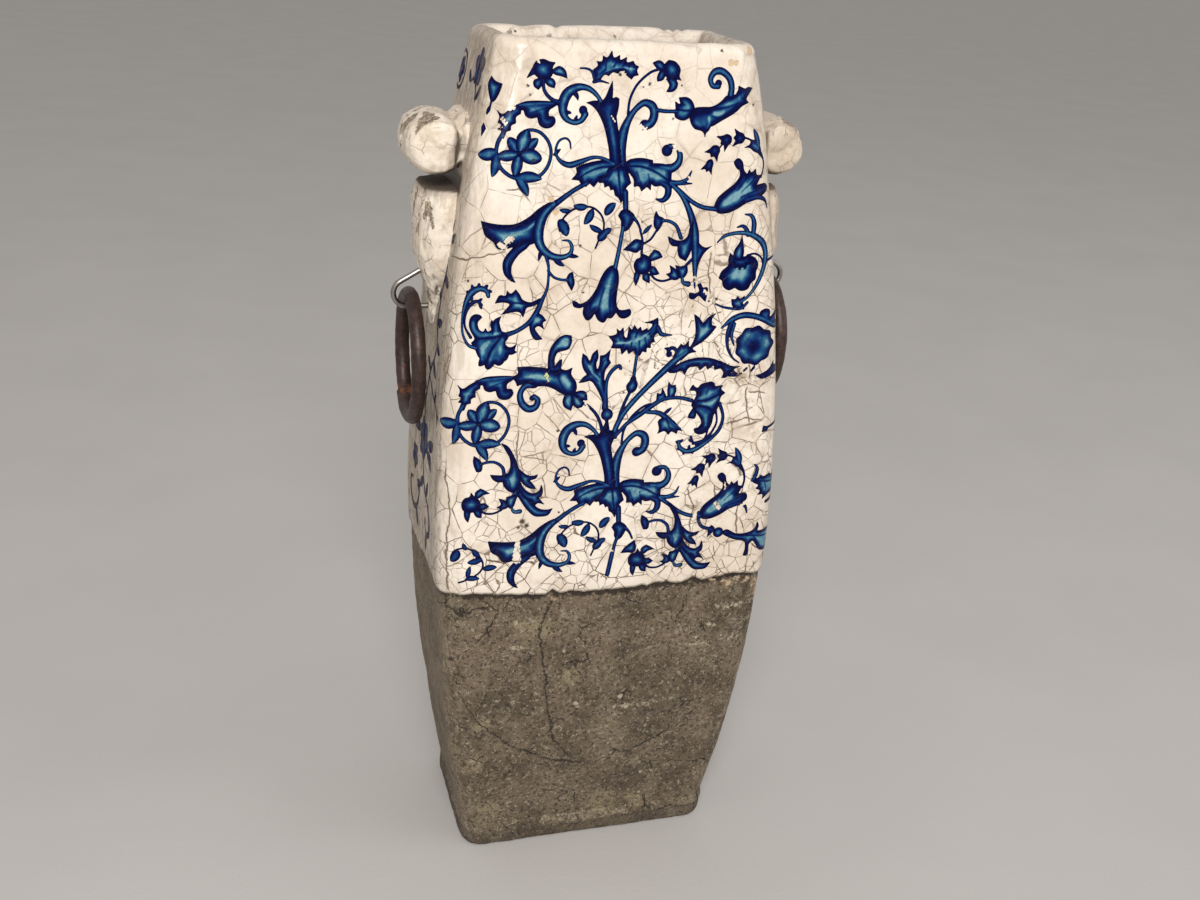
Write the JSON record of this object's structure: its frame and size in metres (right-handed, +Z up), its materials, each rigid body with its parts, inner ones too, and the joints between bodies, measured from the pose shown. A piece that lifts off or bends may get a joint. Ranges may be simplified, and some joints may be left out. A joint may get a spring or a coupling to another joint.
{
  "type": "stoneware vase",
  "caption": "Tall rounded-rectangular vase with crackled glaze above a bare clay foot, and a rolled handle with a loose iron ring on each narrow side.",
  "frame": {"origin": "centre of the underside, where the foot rests", "axes": "+Z up along the vase, -Y out of the broad front face, +X towards the right handle seen from the front"},
  "size_m": [0.2151, 0.117, 0.4497],
  "materials": {
    "crackled_glaze": "satin cream glaze with brown crackle and blue pattern",
    "handle_glaze": "thin worn glaze over lumpy clay, chipped to grey-brown",
    "bare_clay": "matte gritty stoneware body, scuffed and finely cracked",
    "foot_clay": "matte darker clay band, worn at its edge",
    "steel_wire": "bright drawn wire",
    "forged_iron": "dark oxidised iron with rust at the weld"
  },
  "bodies": {
    "vase": {"base_slab": "foot_clay", "wall": "bare_clay", "glaze_coat": "crackled_glaze", "left_handle_roll": "handle_glaze", "right_handle_roll": "handle_glaze", "left_handle_tongue": "handle_glaze", "right_handle_tongue": "handle_glaze", "left_staple": "steel_wire", "right_staple": "steel_wire"},
    "left_ring": {"left_ring": "forged_iron"},
    "right_ring": {"right_ring": "forged_iron"}
  },
  "joints": [
    {"name": "left_ring_swing", "type": "hinge", "parent": "vase", "child": "left_ring", "pos_m": [-0.09864, 0, 0.318], "axis": [0, 1, 0], "range_deg": [-2.5, 175]},
    {"name": "right_ring_swing", "type": "hinge", "parent": "vase", "child": "right_ring", "pos_m": [0.0963, 0, 0.324], "axis": [0, -1, 0], "range_deg": [-1, 172]}
  ]
}
